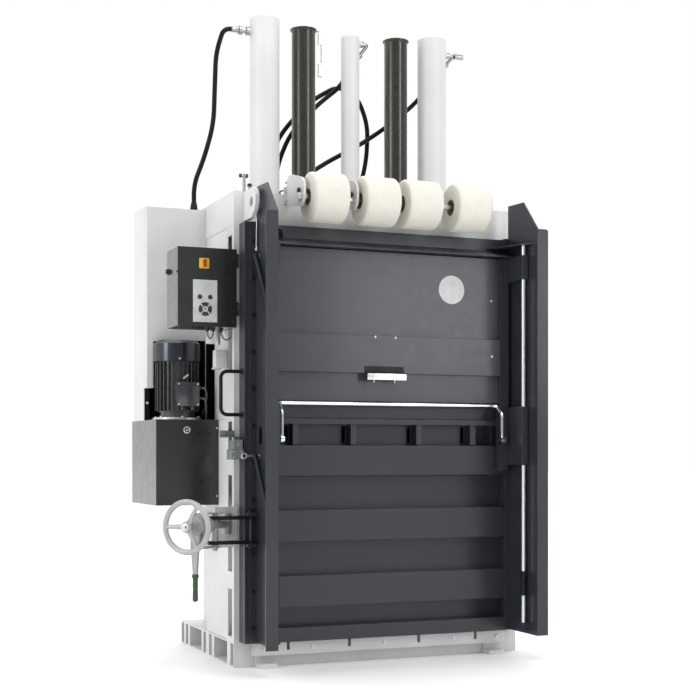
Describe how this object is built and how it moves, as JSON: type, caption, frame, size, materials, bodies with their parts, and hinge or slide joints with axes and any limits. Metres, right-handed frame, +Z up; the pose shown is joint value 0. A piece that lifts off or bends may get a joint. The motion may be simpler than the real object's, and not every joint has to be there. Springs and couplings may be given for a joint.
{
  "type": "recycling baler",
  "caption": "Vertical recycling baler with a full-height front door, sliding loading flap, swinging screw lock, twin press rams, strapping reels and a side hydraulic unit.",
  "frame": {"origin": "on the floor, under the middle of the base's width and depth", "axes": "+X to the right seen from the front, -Y out of the front door, +Z up"},
  "size_m": [1.7922, 1.222, 2.981],
  "materials": {
    "frame_paint": "satin light grey paint",
    "door_paint": "satin anthracite paint",
    "motor_paint": "gloss anthracite paint",
    "fan_plastic": "moulded black",
    "chrome": "polished",
    "bare_steel": "zinc plated",
    "column_coat": "satin bronze black",
    "black_steel": "semi gloss black",
    "lock_cast": "silver enamel",
    "grip_plastic": "green grip on a light grey bar",
    "flap_handle_metal": "brushed",
    "strap_band": "wound woven band, cream",
    "hose_rubber": "ribbed cover",
    "buffer_rubber": "moulded",
    "key_film": "silver grey film with dark keys",
    "knob_plastic": "moulded red"
  },
  "bodies": {
    "frame": {"base_frame": "frame_paint", "front_sill": "frame_paint", "side_wall_left": "frame_paint", "side_wall_right": "frame_paint", "rear_wall": "frame_paint", "front_column_left": "frame_paint", "front_column_right": "frame_paint", "hinge_pins": "bare_steel", "press_head": "frame_paint", "cylinder_left": "frame_paint", "cylinder_centre": "frame_paint", "cylinder_right": "frame_paint", "pump_unit": "door_paint", "rear_cabinet": "frame_paint", "motor_body": "motor_paint", "fan_cowl": "motor_paint", "terminal_box": "motor_paint", "control_box": "door_paint", "safety_switch": "door_paint", "spool_brackets": "frame_paint", "spool_spindle": "bare_steel", "hose_left": "hose_rubber", "hose_centre": "hose_rubber", "hose_arch": "hose_rubber", "hose_right": "hose_rubber", "hose_fittings": "bare_steel"},
    "platen": {"press_platen": "door_paint", "guide_column_left": "column_coat", "guide_column_right": "column_coat", "piston_rods": "chrome", "switch_cam": "bare_steel"},
    "door": {"door_frame": "door_paint", "door_panel": "door_paint", "crossbar": "door_paint", "wing_left": "door_paint", "wing_right": "door_paint", "guide_rods": "chrome", "rod_buffers": "buffer_rubber", "wing_stays": "black_steel", "lanyard": "bare_steel", "door_handle": "black_steel", "eyebolt_link": "bare_steel"},
    "flap": {"loading_flap": "door_paint", "flap_carriage_left": "door_paint", "flap_carriage_right": "door_paint", "flap_handle": "flap_handle_metal"},
    "bail": {"bail_bar": "chrome"},
    "lock": {"lock_arms": "black_steel", "lock_housing": "lock_cast"},
    "wheel": {"handwheel": "lock_cast"},
    "lever": {"release_lever": "grip_plastic"},
    "reel_1": {"strap_reel_1": "strap_band"},
    "reel_2": {"strap_reel_2": "strap_band"},
    "reel_3": {"strap_reel_3": "strap_band"},
    "reel_4": {"strap_reel_4": "strap_band"},
    "lid": {"control_lid": "door_paint", "key_panel": "key_film"},
    "knob": {"switch_knob": "knob_plastic"},
    "fan": {"motor_fan": "fan_plastic"}
  },
  "joints": [
    {"name": "door_swing", "type": "hinge", "parent": "frame", "child": "door", "pos_m": [0.712, -0.476, 1], "axis": [0, 0, 1], "range_deg": [0, 120]},
    {"name": "flap_slide", "type": "slide", "parent": "door", "child": "flap", "axis": [0, 0, 1], "range_m": [-0.483, 0]},
    {"name": "bail_swing", "type": "hinge", "parent": "flap", "child": "bail", "pos_m": [0, -0.603, 1.002], "axis": [1, 0, 0], "range_deg": [0, 60]},
    {"name": "platen_stroke", "type": "slide", "parent": "frame", "child": "platen", "axis": [0, 0, 1], "range_m": [-0.775, 0]},
    {"name": "lock_swing", "type": "hinge", "parent": "door", "child": "lock", "pos_m": [-0.655, -0.535, 0.61], "axis": [0, 0, 1], "range_deg": [0, 45]},
    {"name": "handwheel_spin", "type": "hinge", "parent": "lock", "child": "wheel", "pos_m": [-0.745, -0.47, 0.635], "axis": [-0.7431, -0.6691, 0], "continuous": true},
    {"name": "lever_swing", "type": "hinge", "parent": "lock", "child": "lever", "pos_m": [-0.93227, -0.63862, 0.635], "axis": [-0.7431, -0.6691, 0], "range_deg": [-30, 30]},
    {"name": "reel_1_spin", "type": "hinge", "parent": "frame", "child": "reel_1", "pos_m": [-0.344, -0.62, 2.05], "axis": [1, 0, 0], "continuous": true},
    {"name": "reel_2_spin", "type": "hinge", "parent": "frame", "child": "reel_2", "pos_m": [-0.102, -0.62, 2.05], "axis": [1, 0, 0], "continuous": true},
    {"name": "reel_3_spin", "type": "hinge", "parent": "frame", "child": "reel_3", "pos_m": [0.102, -0.62, 2.05], "axis": [1, 0, 0], "continuous": true},
    {"name": "reel_4_spin", "type": "hinge", "parent": "frame", "child": "reel_4", "pos_m": [0.344, -0.62, 2.05], "axis": [1, 0, 0], "continuous": true},
    {"name": "lid_swing", "type": "hinge", "parent": "frame", "child": "lid", "pos_m": [-0.6945, -0.474, 1.65], "axis": [0, 0, 1], "range_deg": [0, 85]},
    {"name": "switch_turn", "type": "hinge", "parent": "lid", "child": "knob", "pos_m": [-0.848, -0.48, 1.758], "axis": [0, 1, 0], "range_deg": [0, 90]},
    {"name": "fan_spin", "type": "hinge", "parent": "frame", "child": "fan", "pos_m": [-0.85, -0.04, 1.36], "axis": [0, 0, 1], "continuous": true}
  ]
}
